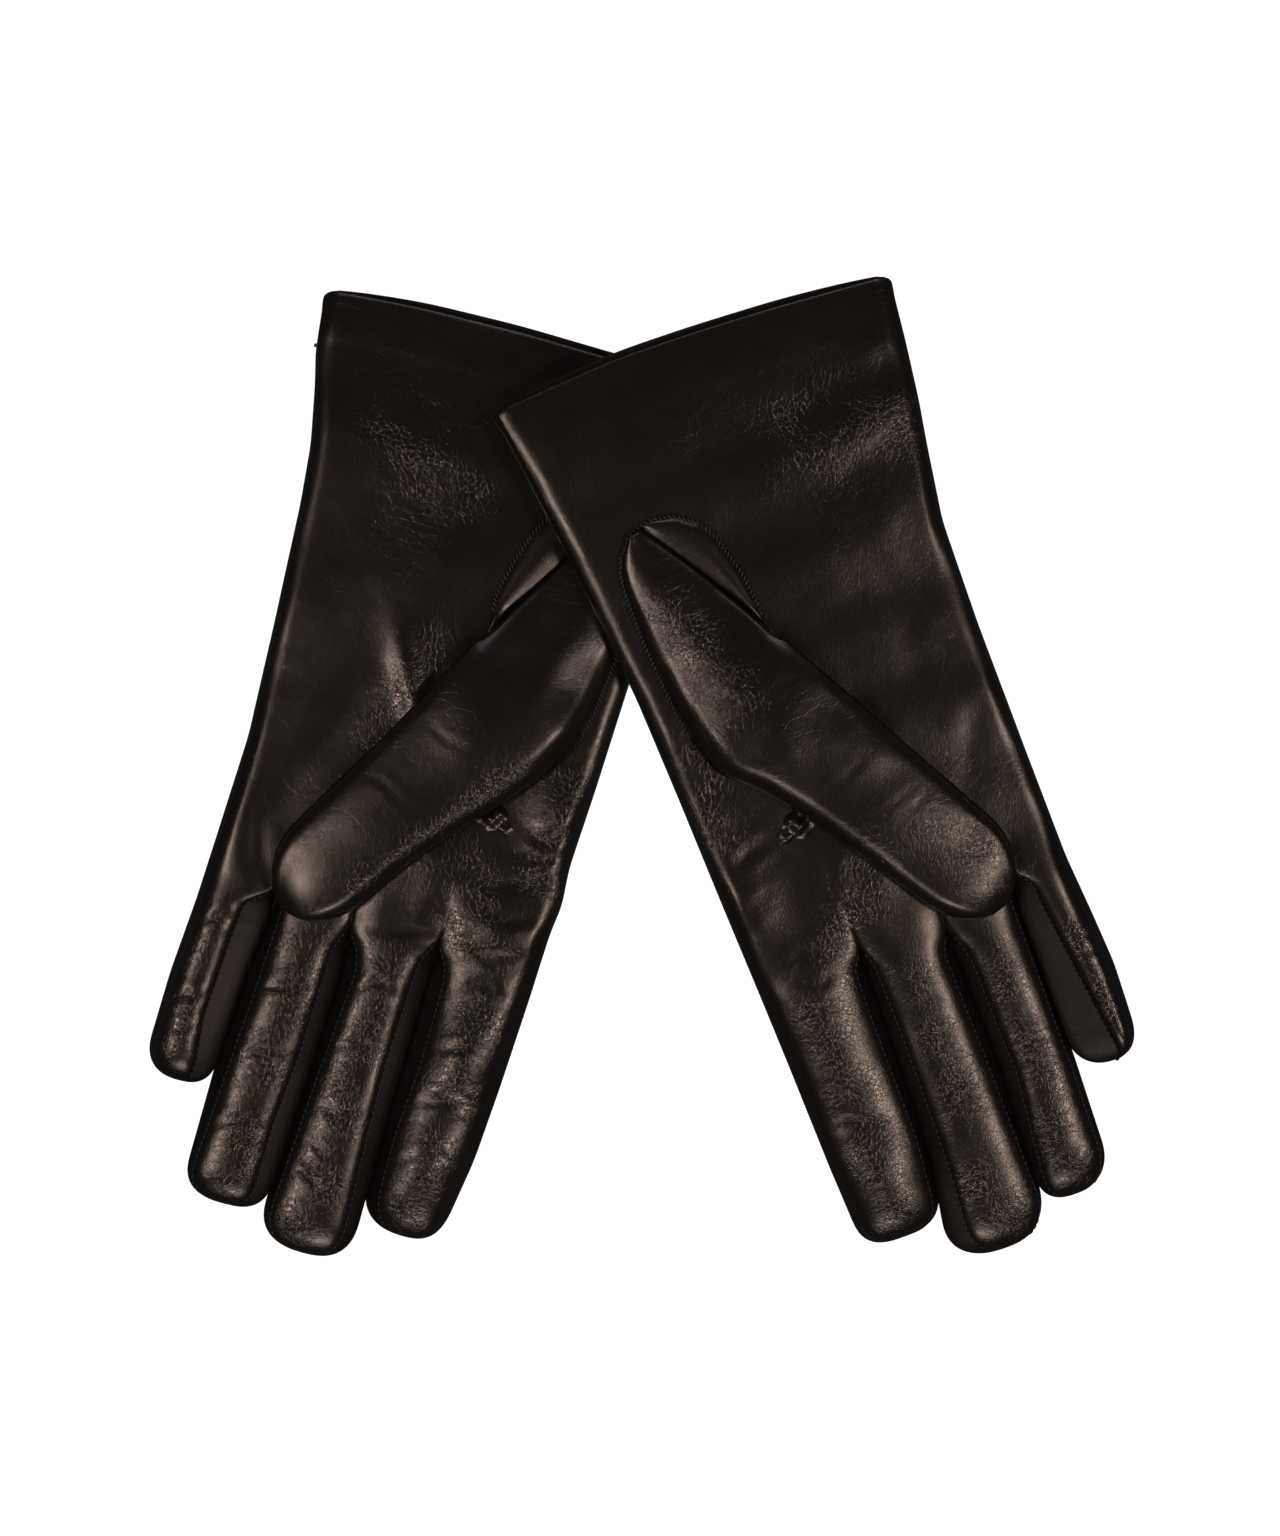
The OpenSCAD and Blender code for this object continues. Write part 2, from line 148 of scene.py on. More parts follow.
# Creases: the points they run through, as (u, v), then depth and half width. Depths are scaled by "wrinkled".
CREASES = {
    "right": [
        ([(40, 141), (33, 138), (26.7, 137)], 0.7, 1.6),
        ([(42, 106), (38, 108), (34, 112)], 0.6, 1.5),
        ([(44, 158), (38, 153), (31, 152)], 0.4, 1.8),
        ([(36, 172), (30, 170), (24, 171)], 0.55, 1.3),
        ([(34, 178), (28, 180), (22, 178)], 0.5, 1.3),
        ([(40, 221), (32, 219), (23, 221)], 0.5, 1.4),
        ([(8, 196), (2, 194), (-5, 197)], 0.35, 1.2),
        ([(8, 226), (1, 224), (-6, 228)], 0.35, 1.2),
        ([(-15, 252), (-20, 248), (-26, 247)], 0.5, 1.1),
        ([(-16, 216), (-22, 214), (-29, 216)], 0.35, 1.2),
        ([(-42, 198), (-46, 196), (-51, 198)], 0.4, 1.2),
        ([(-20, 60), (-28, 84), (-30, 110)], 0.35, 5.0),
        ([(-44, 118), (-34, 132), (-30, 146)], 0.35, 3.0),
        ([(3, 140), (8, 158), (13, 170)], 0.5, 3.2),
        ([(-5, 150), (-9, 165), (-11, 176)], 0.5, 3.2),
        ([(24, 60), (22, 80), (16, 104)], 0.3, 3.5),
    ],
    "left": [
        ([(46, 133), (40, 136), (34, 135)], 0.9, 1.6),
        ([(46, 139), (40, 141), (33, 143)], 0.7, 1.4),
        ([(48, 149), (40, 148), (30, 152), (22, 150)], 0.8, 1.8),
        ([(46, 158), (36, 161), (27, 159)], 0.6, 1.6),
        ([(18, 171), (12, 170), (7, 171), (0, 174)], 0.8, 1.3),
        ([(42, 170), (34, 172), (26, 169)], 0.7, 1.4),
        ([(42, 182), (34, 180), (26, 183)], 0.6, 1.4),
        ([(44, 199), (36, 197), (26, 201)], 0.55, 1.3),
        ([(44, 214), (36, 213), (24, 216)], 0.9, 1.4),
        ([(42, 232), (34, 229), (24, 233)], 0.6, 1.3),
        ([(12, 190), (6, 187), (0, 190)], 0.6, 1.2),
        ([(11, 206), (5, 204), (-2, 208)], 0.6, 1.2),
        ([(12, 224), (5, 226), (-3, 222)], 0.5, 1.2),
        ([(8, 248), (2, 245), (-4, 242)], 0.7, 1.1),
        ([(10, 238), (4, 237), (-3, 233)], 0.5, 1.1),
        ([(-12, 215.5), (-19, 214), (-26.7, 217)], 0.8, 1.2),
        ([(-12, 196), (-18, 194), (-25, 197)], 0.6, 1.2),
        ([(-14, 236), (-21, 234), (-28, 238)], 0.6, 1.2),
        ([(-40, 205), (-45, 204), (-51, 207)], 0.6, 1.1),
        ([(-40, 214), (-45, 215), (-51, 213)], 0.5, 1.1),
        ([(-34, 182), (-42, 180), (-49, 184)], 0.6, 1.3),
        ([(-20, 50), (-32, 76), (-36, 110)], 0.35, 6.0),
        ([(-16, 96), (-26, 124), (-38, 150)], 0.5, 4.0),
        ([(-40, 150), (-36, 162), (-30, 172)], 0.5, 2.4),
        ([(-4, 160), (-6, 168), (-6.4, 173)], 0.6, 2.6),
        ([(16, 154), (18, 164), (19, 171)], 0.6, 2.6),
    ],
}
THUMB_CREASES = {
    "right": [
        ([(10, 130.6), (0, 126.7), (-9, 121)], 0.16, 1.0),
        ([(0, 141), (-9, 138), (-17.8, 137)], 0.16, 1.0),
        ([(-12, 143), (-20, 138)], 0.14, 0.9),
        ([(11, 97), (3, 97)], 0.16, 0.9),
        ([(28, 60), (31, 84), (26, 108)], 0.2, 4.0),
    ],
    "left": [
        ([(0, 99), (-4, 112), (-11, 120)], 0.23, 2.2),
        ([(14, 118), (6, 116), (0, 112)], 0.16, 1.1),
        ([(6, 140), (-6, 134), (-14, 132)], 0.16, 1.1),
        ([(30, 72), (33, 92), (28, 112)], 0.23, 4.0),
    ],
}
# Broad swells of the leather: centre, half length and half width, turn from the u axis and height.
SWELLS = {
    "right": [((-34, 37), 22, 8, 12, 1.1), ((-30, 62), 26, 9, 20, 0.3), ((-44, 18), 10, 5, 5, 0.5),
              ((34, 24), 18, 9, -8, 0.6), ((38, 152), 8, 12, 0, 0.7),
              ((10, 158), 14, 10, 60, 0.6), ((30, 196), 8, 16, 0, 0.5), ((29, 238), 7, 12, 0, 0.6)],
    "left": [((-26, 40), 22, 12, -10, 0.4), ((-10, 78), 10, 22, 15, 0.5), ((-34, 110), 10, 28, 8, 0.25),
             ((42, 128), 8, 10, 0, 1.0), ((12, 152), 14, 9, 45, 0.4), ((34, 164), 12, 8, 10, 0.8),
             ((-6, 108), 4, 18, -28, 0.9), ((34, 202), 7, 11, 0, 0.8), ((31, 232), 7, 12, 0, 0.8),
             ((-44, 150), 6, 18, 0, 0.6)],
}
THUMB_SWELLS = {
    "right": [((27, 76), 7, 14, 20, 0.7), ((14, 112), 8, 16, -30, 0.3)],
    "left": [((30, 84), 7, 14, 10, 0.8), ((12, 116), 9, 16, -30, 0.3)],
}
# Ridges that the leather is worn and crackled along, where its colour is also lightened as a painted
# highlight, as (u, v) ends and a half width.
WEAR_AND_HIGHLIGHT_LINES = {
    "right": [((-20, 34), (-48, 40), 14), ((6, 250), (-2, 258), 9), ((-18, 240), (-22, 254), 8),
              ((36, 104), (40, 132), 7), ((28, 70), (22, 96), 9), ((30, 186), (29, 244), 8),
              ((1, 186), (1, 226), 5), ((-22, 190), (-23, 230), 5), ((-46, 190), (-47, 214), 5),
              ((2, 152), (20, 176), 8), ((-18, 150), (-30, 166), 8)],
    "left": [((36, 186), (32, 248), 10), ((6, 180), (5, 234), 7), ((4, 240), (2, 258), 9),
             ((-16, 182), (-18, 250), 8), ((-46, 182), (-47, 218), 7), ((-4, 90), (-14, 122), 6),
             ((42, 118), (42, 148), 8), ((20, 150), (30, 170), 10), ((-30, 36), (-10, 50), 12),
             ((26, 120), (-6, 162), 5)],
}


# ---- small helpers ----

def ramp(x, start, end):
    """0 before start, 1 after end and a smooth rise between."""
    t = np.clip((x - start) / (end - start), 0, 1)
    return t * t * (3 - 2 * t)


def curve(points, at, soft=4.0):
    """Values of a line through (place, value) points, with rounded corners, that runs on past its ends."""
    p, q = np.array(points, float).T
    first = (q[1] - q[0]) / (p[1] - p[0])
    last = (q[-1] - q[-2]) / (p[-1] - p[-2])
    p = np.concatenate([[p[0] - 99], p, [p[-1] + 99]])
    q = np.concatenate([[q[0] - 99 * first], q, [q[-1] + 99 * last]])
    steps = np.linspace(-1, 1, 9)
    weights = np.cos(steps * 1.4)
    return sum(w * np.interp(at + s * soft, p, q) for w, s in zip(weights, steps)) / weights.sum()


def near_line(u, v, a, b):
    """Distance of each point from the stretch a to b, and how far along it, from 0 to 1."""
    du, dv = b[0] - a[0], b[1] - a[1]
    t = np.clip(((u - a[0]) * du + (v - a[1]) * dv) / (du * du + dv * dv), 0, 1)
    return np.hypot(u - a[0] - t * du, v - a[1] - t * dv), t


def crease(u, v, path, depth, width):
    """A groove along path with a low ridge on each side."""
    best = np.full(u.shape, 1e9)
    along = np.zeros(u.shape)
    for k, (a, b) in enumerate(zip(path, path[1:])):
        distance, t = near_line(u, v, a, b)
        closer = distance < best
        best = np.where(closer, distance, best)
        along = np.where(closer, (k + t) / (len(path) - 1), along)
    fade = np.sin(np.pi * np.clip(along, 0.02, 0.98)) ** 0.7
    x = best / width
    return depth * fade * (0.5 * np.exp(-(((x - 1.9) / 1.1) ** 2)) - np.exp(-x * x))


def waves(u, v, seed, low, high, count):
    """Soft random swells, with wavelengths from low to high."""
    rng = np.random.default_rng(seed)
    total = np.zeros(u.shape)
    for _ in range(count):
        angle, phase = rng.uniform(0, 2 * np.pi, 2)
        length = rng.uniform(low, high)
        total += np.sin((u * np.cos(angle) + v * np.sin(angle)) * 2 * np.pi / length + phase)
    return total / math.sqrt(count)


def normals(grid):
    """Unit normals of a grid of points, out of the side where columns turn left into rows."""
    across = np.gradient(grid, axis=1)
    along = np.gradient(grid, axis=0)
    n = np.cross(across, along)
    length = np.linalg.norm(n, axis=2, keepdims=True)
    return n / np.maximum(length, 1e-9)


class Glove:
    """One glove's frame and shape data."""

    def __init__(self, side, seed):
        self.side = side
        self.seed = seed
        self.body = side + "_glove"
        self.shape = SHAPES[side]
        mount = MOUNTS[side + "_cuff_entry"]
        index = np.array(JOINTS[side + "_index_curl"]["pos_m"])
        little = np.array(JOINTS[side + "_little_curl"]["pos_m"])
        u = (index - little) / np.linalg.norm(index - little)
        v = -np.array(mount["axis"])
        z = np.cross(u, v)
        self.mirrored = z[2] < 0
        if self.mirrored:
            z = -z
        self.axes = np.array([u, v, z])
        self.origin = np.array(mount["pos_m"]) / MM - HALF_CUFF * z
        hinge = JOINTS[side + "_thumb_open"]
        self.thumb_at = (np.array(hinge["pos_m"]) / MM - self.origin) @ self.axes.T
        across = self.axes @ np.array(hinge["axis"])
        across *= np.sign(across[0])
        self.thumb_axes = np.array([across[:2], [-across[1], across[0]]])

    def place(self, points):
        """Row-frame points, in metres, of points in this glove's frame."""
        return (self.origin + points @ self.axes) * MM

    def from_thumb(self, x, y):
        """u and v of points given across and along the thumb."""
        return (self.thumb_at[0] + x * self.thumb_axes[0, 0] + y * self.thumb_axes[1, 0],
                self.thumb_at[1] + x * self.thumb_axes[0, 1] + y * self.thumb_axes[1, 1])

    def wear_and_highlight(self, u, v):
        """How worn the leather is at each point, from 0 to 1. The same mask lightens the leather's colour,
        partly as a painted highlight on the ridges that catch the light.
        """
        total = np.zeros(u.shape)
        for a, b, width in WEAR_AND_HIGHLIGHT_LINES[self.side]:
            distance, _ = near_line(u, v, a, b)
            total = np.maximum(total, np.exp(-((distance / width) ** 2)))
        patches = 0.75 + 0.35 * waves(u, v, 91, 7, 22, 6)
        return np.clip(total * patches, 0, 1)


# ---- meshes ----

def add_mesh(glove, name, points, faces, rest, wear_and_highlight, facing, material):
    """A mesh object from points and faces in the glove's frame, with the attributes its material reads."""
    name = f"{glove.side}_{name}"
    if glove.mirrored:
        faces = faces[:, ::-1]
    mesh = bpy.data.meshes.new(name)
    mesh.from_pydata(glove.place(points).tolist(), [], faces.tolist())
    mesh.shade_smooth()
    places = mesh.attributes.new("rest", "FLOAT_VECTOR", "POINT")
    places.data.foreach_set("vector", rest.astype(np.float32).ravel())
    wear_and_highlight_layer = mesh.attributes.new("wear_and_highlight", "FLOAT", "POINT")
    wear_and_highlight_layer.data.foreach_set("value", wear_and_highlight.astype(np.float32))
    if facing is not None:
        mesh.normals_split_custom_set_from_vertices((facing @ glove.axes).tolist())
    mesh.materials.append(material)
    piece = bpy.data.objects.new(name, mesh)
    scene.collection.objects.link(piece)
    return piece


def shell(glove, name, grid, material, outer=0.0, thick=LEATHER, keep=None, facing=None, rest=None):
    """A sheet of real thickness on a grid of points: an outer face, an inner face and rims all round."""
    rows, cols = grid.shape[:2]
    n = normals(grid) if facing is None else facing
    top = (grid - n * outer).reshape(-1, 3)
    under = (grid - n * (outer + thick)).reshape(-1, 3)
    keep = np.ones((rows - 1, cols - 1), bool) if keep is None else keep
    ids = np.arange(rows * cols).reshape(rows, cols)
    a, b, c, d = ids[:-1, :-1], ids[:-1, 1:], ids[1:, 1:], ids[1:, :-1]
    half = rows * cols
    faces = [np.stack([a, b, c, d], -1)[keep], np.stack([d, c, b, a], -1)[keep] + half]
    padded = np.pad(keep, 1)
    rims = [(padded[:-2, 1:-1], a, b), (padded[1:-1, 2:], b, c),
            (padded[2:, 1:-1], c, d), (padded[1:-1, :-2], d, a)]
    for beyond, p, q in rims:
        open_side = keep & ~beyond
        faces.append(np.stack([q, p, p + half, q + half], -1)[open_side])
    faces = np.concatenate(faces)
    points = np.concatenate([top, under])
    used, faces = np.unique(faces, return_inverse=True)
    faces = faces.reshape(-1, 4)
    place = grid if rest is None else rest
    rest = np.concatenate([place.reshape(-1, 3), place.reshape(-1, 3) + 40])
    # The mask and its painted highlight are kept only where the sheet faces up, out of the palm side.
    wear_and_highlight = np.tile(glove.wear_and_highlight(place[..., 0], place[..., 1]).ravel() * (n[..., 2].ravel() > 0.2), 2)
    both_ways = np.concatenate([n.reshape(-1, 3), -n.reshape(-1, 3)])
    return add_mesh(glove, name, points[used], faces, rest[used], wear_and_highlight[used], both_ways[used], material)


def thread(glove, name, paths, material, radius):
    """Short arcs of thread, one closed tube along each path of points."""
    points, faces = [], []
    turn = np.linspace(0, 2 * np.pi, ROUND, endpoint=False)
    start = 0
    for path in paths:
        path = np.array(path, float)
        along = np.gradient(path, axis=0)
        along /= np.linalg.norm(along, axis=1, keepdims=True)
        side = np.cross(along, (0, 0, 1))
        side /= np.maximum(np.linalg.norm(side, axis=1, keepdims=True), 1e-6)
        up = np.cross(side, along)
        girth = radius * np.sin(np.linspace(0.35, np.pi - 0.35, len(path)))[:, None, None] ** 0.5
        way = side[:, None] * np.cos(turn)[:, None] + up[:, None] * np.sin(turn)[:, None]
        rings = path[:, None] + girth * way
        points.append(rings.reshape(-1, 3))
        ids = start + np.arange(len(path) * ROUND).reshape(len(path), ROUND)
        nxt = np.roll(ids, -1, axis=1)
        faces.append(np.stack([ids[:-1], nxt[:-1], nxt[1:], ids[1:]], -1).reshape(-1, 4))
        for ring in (ids[0][::-1], ids[-1]):
            faces.append(np.array([ring[:4], ring[[0, 3, 4, 5]]]))
        start += len(path) * ROUND
    points = np.concatenate(points)
    return add_mesh(glove, name, points, np.concatenate(faces), points, np.zeros(len(points)), None, material)


def stitches(line, out, spacing, length, height, sink=0.0):
    """Arcs of thread every spacing mm along a line of points. out is the stitch's direction at each point."""
    gaps = np.linalg.norm(np.diff(line, axis=0), axis=1)
    far = np.concatenate([[0], np.cumsum(gaps)])
    paths = []
    for at in np.arange(spacing, far[-1] - spacing, spacing):
        middle = np.array([np.interp(at, far, line[:, k]) for k in range(3)])
        way = np.array([np.interp(at, far, out[:, k]) for k in range(3)])
        way /= max(np.linalg.norm(way), 1e-6)
        t = np.linspace(-1, 1, 5)[:, None]
        paths.append(middle + way * t * length / 2 + np.array([0, 0, 1]) * (height * (1 - t * t) - sink))
    return paths


# ---- the hand and fingers ----

def thickness(v):
    """Height of the closed glove along its length."""
    return curve([(-6, 4.0), (0, 4.6), (8, 5.8), (40, 7.8), (100, 8.7), (150, 8.9), (180, 9.1)], v, 6)


def hand_sides(glove, v):
    """Little finger's and index finger's sides of the hand at v."""
    return curve(glove.shape["little_side"], v), curve(glove.shape["index_side"], v)


def gap_line(glove, k, v):
    """Middle of the gap between strip k and the next, at v."""
    return curve(glove.shape["gaps"][k], v, 3)


def outer(k, side):
    """Whether finger k's little-finger side (0) or index side (1) is also a side of the hand."""
    return (k, side) in ((0, 0), (3, 1))


def seam_line(glove, k, side, v):
    """Edge of the palm strip of finger k on one side."""
    if outer(k, side):
        return hand_sides(glove, v)[side] + 1.5 * (1 - 2 * side)
    gap = k - 1 + side
    crotch = glove.shape["crotches"][gap]
    line = gap_line(glove, gap, v)
    seam = curve(glove.shape["seams"][STRIPS[k]][side], v, 2)
    return line + (seam - line) * ramp(v, crotch - 1.5, crotch + 8)


def body_edge(glove, k, side, v):
    """Outer edge of finger k on one side, where it meets its neighbour or the table's air."""
    if outer(k, side):
        return hand_sides(glove, v)[side]
    gap = k - 1 + side
    crotch = glove.shape["crotches"][gap]
    line = gap_line(glove, gap, v)
    apart = SLIT * ramp(v, crotch - 4, crotch + 6)
    return line + (apart if side == 0 else -apart)


def relief(glove, u, v, creases, swells):
    """Creases and soft swells of the leather at each point."""
    total = 0.24 * waves(u, v, glove.seed, 22, 60, 8) + 0.025 * waves(u, v, glove.seed + 1, 8, 16, 9)
    for (cu, cv), length, width, turn, height in swells:
        a = math.radians(turn)
        along = ((u - cu) * math.cos(a) + (v - cv) * math.sin(a)) / length
        across = ((v - cv) * math.cos(a) - (u - cu) * math.sin(a)) / width
        total += SWELL * height * np.exp(-along ** 2 - across ** 2)
    strayed_u = u + 0.6 * waves(u, v, glove.seed + 7, 10, 24, 6)
    strayed_v = v + 0.6 * waves(u, v, glove.seed + 8, 10, 24, 6)
    for path, depth, width in creases:
        total += crease(strayed_u, strayed_v, path, depth * glove.shape["wrinkled"], width * 1.15)
    return total


def fine_wrinkles(glove, u, v):
    """Fine cross wrinkles where the leather is worn."""
    wear_and_highlight = glove.wear_and_highlight(u, v)
    warp = 1.4 * waves(u, v, glove.seed + 5, 9, 24, 5)
    uneven = 0.6 + 0.4 * waves(u, v, glove.seed + 6, 5, 12, 5)
    return 0.025 * wear_and_highlight * np.sin((v + warp) * 2 * np.pi / 3.1) * uneven


def palm_height(glove, k, u, v, x):
    """Height of the palm side of strip k: the flat hand turning into a crowned finger."""
    low, high = hand_sides(glove, v)
    body = thickness(v)
    edge = EDGE * body
    inward = np.clip(np.minimum(u - low, high - u) / ROUNDED, 0, 1)
    hand = edge + (body - edge) * np.sqrt(1 - (1 - inward) ** 2)
    low_seam = edge if k == 0 else SEAM
    high_seam = edge if k == 3 else SEAM
    base = low_seam + (high_seam - low_seam) * (x + 1) / 2
    finger = base + (CROWN - base) * (1 - np.abs(x) ** 2.3) ** 0.55
    z = hand + (finger - hand) * ramp(v, 154, 186)
    z += 0.1 * (1 - ramp(v, HEM - 1.5, HEM + 1.5))
    z -= 0.6 * (1 - np.sqrt(1 - (1 - np.clip(v / 1.2, 0, 1)) ** 2))
    fade = np.clip(np.minimum(u - low, high - u) / 4, 0, 1)
    detail = relief(glove, u, v, CREASES[glove.side], SWELLS[glove.side])
    return z + fade * (detail + fine_wrinkles(glove, u, v))


def back_height(glove, u, v, x):
    """Height of the back's leather, flat on the table but for its turned-up sides."""
    return FLAT + 0.9 * np.abs(x) ** 6 + 0.12 * (1 + waves(u, v, glove.seed + 3, 14, 40, 6)) * ramp(v, 4, 20)


def wall(upper, lower, edge, lean=0.0):
    """Side wall from a palm edge out to the glove's edge line, which may lean, and down to a back edge."""
    t = np.linspace(0, 1, WALL)[None, :]
    line = edge[:, None] + lean * (0.5 - t)
    out = 1 - (1 - np.clip(t / 0.5, 0, 1)) ** 2
    tuck = np.clip((t - 0.85) / 0.15, 0, 1)
    u = upper[:, 0:1] + (line - upper[:, 0:1]) * out
    u = u + (lower[:, 0:1] - u) * tuck
    v = upper[:, 1:2] + (lower[:, 1:2] - upper[:, 1:2]) * t
    z = upper[:, 2:3] + (lower[:, 2:3] - upper[:, 2:3]) * (1.6 * t - 0.6 * t * t)
    return np.stack([u, v, z], -1)


def strip(glove, k, rows):
    """Palm sheet of strip k on the given rows."""
    v = np.broadcast_to(rows[:, None], (len(rows), COLUMNS[k])).copy()
    x = np.broadcast_to(np.linspace(-1, 1, COLUMNS[k]), v.shape)
    x = np.sign(x) * (1 - (1 - np.abs(x)) ** 1.25)
    low = seam_line(glove, k, 0, v)
    high = seam_line(glove, k, 1, v)
    u = low + (high - low) * (x + 1) / 2
    return np.stack([u, v, palm_height(glove, k, u, v, x)], -1)


def back(glove, rows, low, high, count):
    """Back sheet between two edge lines, from the index side to the little finger's side."""
    v = np.broadcast_to(rows[:, None], (len(rows), count)).copy()
    x = np.broadcast_to(np.linspace(1, -1, count), v.shape)
    u = (low + high)[:, None] / 2 + (high - low)[:, None] / 2 * x
    return np.stack([u, v, back_height(glove, u, v, x)], -1)


def round_tip(grid, glove, k):
    """The sheet drawn together into the rounded end of finger k."""
    tip_u, tip_v, radius, power = glove.shape["tips"][STRIPS[k]]
    v = grid[..., 1]
    t = np.clip((v - tip_v + radius) / radius, 0, 1)
    centre = (body_edge(glove, k, 0, v) + body_edge(glove, k, 1, v)) / 2
    narrow = (1 - t ** power) ** (1 / power)
    low = (1 - t ** 2.6) ** (1 / 2.2)
    u = centre + (tip_u - centre) * t * t + (grid[..., 0] - centre) * narrow
    z = 3.9 + (grid[..., 2] - 3.9) * low
    return np.stack([u, v, z], -1)


def finger_rows(glove, k):
    """Rows of finger k, closer together round its tip."""
    _, tip_v, radius, _ = glove.shape["tips"][STRIPS[k]]
    straight = np.arange(SPLIT, tip_v - radius, STEP)
    turn = np.radians(np.linspace(0, 87.5, 17))
    return np.concatenate([straight, tip_v - radius + radius * np.sin(turn)])


def shift_cuff(glove, grid, extra=0.0):
    """Move the sheet's rows so that its cuff edge follows the real, wavy line, extra mm further out."""
    u, v = grid[..., 0], grid[..., 1]
    low, high = hand_sides(glove, v)
    middle = 1 - ((2 * u - low - high) / (high - low)) ** 4
    corner = np.clip(1 - np.minimum(u - low, high - u) / 4, 0, 1)
    rounding = 2.4 * (1 - np.sqrt(1 - corner ** 2)) * (1 - ramp(v, 0, 8))
    grid[..., 1] = v + (curve(glove.shape["cuff"], u, 8) - extra * middle) * (1 - ramp(v, 0, 34)) + rounding


def ring_of(palm, high_wall, under, low_wall):
    """One grid that runs right round: the palm, the index-side wall, the back and the other wall."""
    return np.concatenate([palm, high_wall[:, 1:], under[:, 1:], low_wall[:, 1:]], axis=1)


def make_hand(glove, looks):
    """The trank's hand, its hem and its lining, on one glove."""
    rows = np.concatenate([[0, 0.25, 0.7], np.arange(1.4, SPLIT, STEP), [SPLIT]])
    longer = np.concatenate([rows, SPLIT + np.arange(1, 4) * STEP])
    strips = [strip(glove, k, longer) for k in range(4)]
    palm = np.concatenate([strips[0]] + [s[:, 1:] for s in strips[1:]], axis=1)
    low, high = hand_sides(glove, longer)
    under = back(glove, longer, low + 1.5, high - 1.5, 56)
    fold = wall(palm[:, -1], under[:, 0], high)
    seam = wall(palm[:, 0], under[:, -1], low)[:, ::-1]
    sheets = {"palm_panel": palm, "back_panel": under, "index_fold": fold, "side_seam": seam}
    flat = {name: grid.copy() for name, grid in sheets.items()}
    for name, grid in sheets.items():
        shift_cuff(glove, grid, BACK_CUFF if name == "back_panel" else 0.0)
    count = len(rows)
    hole = inside_oval(glove, palm[..., 0], palm[..., 1], 1.5)
    keep = ~(hole[:-1, :-1] & hole[1:, 1:])[:count - 1]
    for name, grid in sheets.items():
        piece = shell(glove, f"{name}_leather", grid[:count], looks["leather"],
                      keep=keep if name == "palm_panel" else None,
                      facing=normals(grid)[:count], rest=flat[name][:count])
        ride(piece, glove, "leather", name)
    whole = ring_of(palm, fold, under, seam)
    turned = whole[:count][rows <= HEM]
    hem = shell(glove, "cuff_hem_leather", turned, looks["leather"], LEATHER + 0.05, 0.5)
    ride(hem, glove, "leather", "cuff_hem")
    lined = np.arange(0, len(longer), 3)
    lined = lined[longer[lined] > HEM - 2]
    grid = whole[lined][:, ::2]
    hole = inside_oval(glove, grid[..., 0], grid[..., 1], 0) & (grid[..., 2] > HALF_CUFF)
    keep = ~(hole[:-1, :-1] & hole[1:, 1:])
    lining = shell(glove, "hand_lining_knit", grid, looks["lining"], LEATHER + 0.3, 0.5, keep=keep)
    ride(lining, glove, "lining", "hand_lining")
    make_quirks(glove, looks)


def dress(glove, nodes):
    """Hide the CAD nodes that the piece stands for."""
    if nodes:
        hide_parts(*[f"{glove.side}_{node}" for node in nodes])


def ride(piece, glove, slot, *nodes):
    """The piece moves with the hand."""
    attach(piece, glove.body)
    dress(glove, nodes)


def bend(piece, glove, digit, start, end, slot, *nodes):
    """Bake the piece's transform into its mesh and hide the CAD nodes that it stands for. Its two points of
    the glove's frame are placed in the row frame but not used, and the piece is not bent.
    """
    from_point = glove.place(np.array(start))
    to_point = glove.place(np.array(end))
    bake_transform(piece)
    dress(glove, nodes)


def make_quirks(glove, looks):
    """Small gussets in the three crotches. The first one stands for the CAD's quirks."""
    sheets = []
    for gap, crotch in enumerate(glove.shape["crotches"]):
        rows = np.linspace(crotch - 3, crotch + 7, 9)[:, None]
        x = np.linspace(-1, 1, 9)[None, :]
        half = 0.2 + 0.9 * ramp(rows, crotch - 3, crotch + 7)
        u = gap_line(glove, gap, rows) + half * x
        z = 6.9 - 2.2 * ramp(rows, crotch - 3, crotch + 7) - (1 - x * x) * 1.2
        sheets.append(np.stack([u, rows + 0 * x, z], -1))
    for i, sheet in enumerate(sheets):
        # The quirks take the darker fourchette copy of the leather: painted shade in the crotches.
        piece = shell(glove, f"quirk_{i}", sheet, looks["fourchette"], 0, 0.5)
        ride(piece, glove, "fourchette_leather", *(["quirks"] if i == 0 else []))


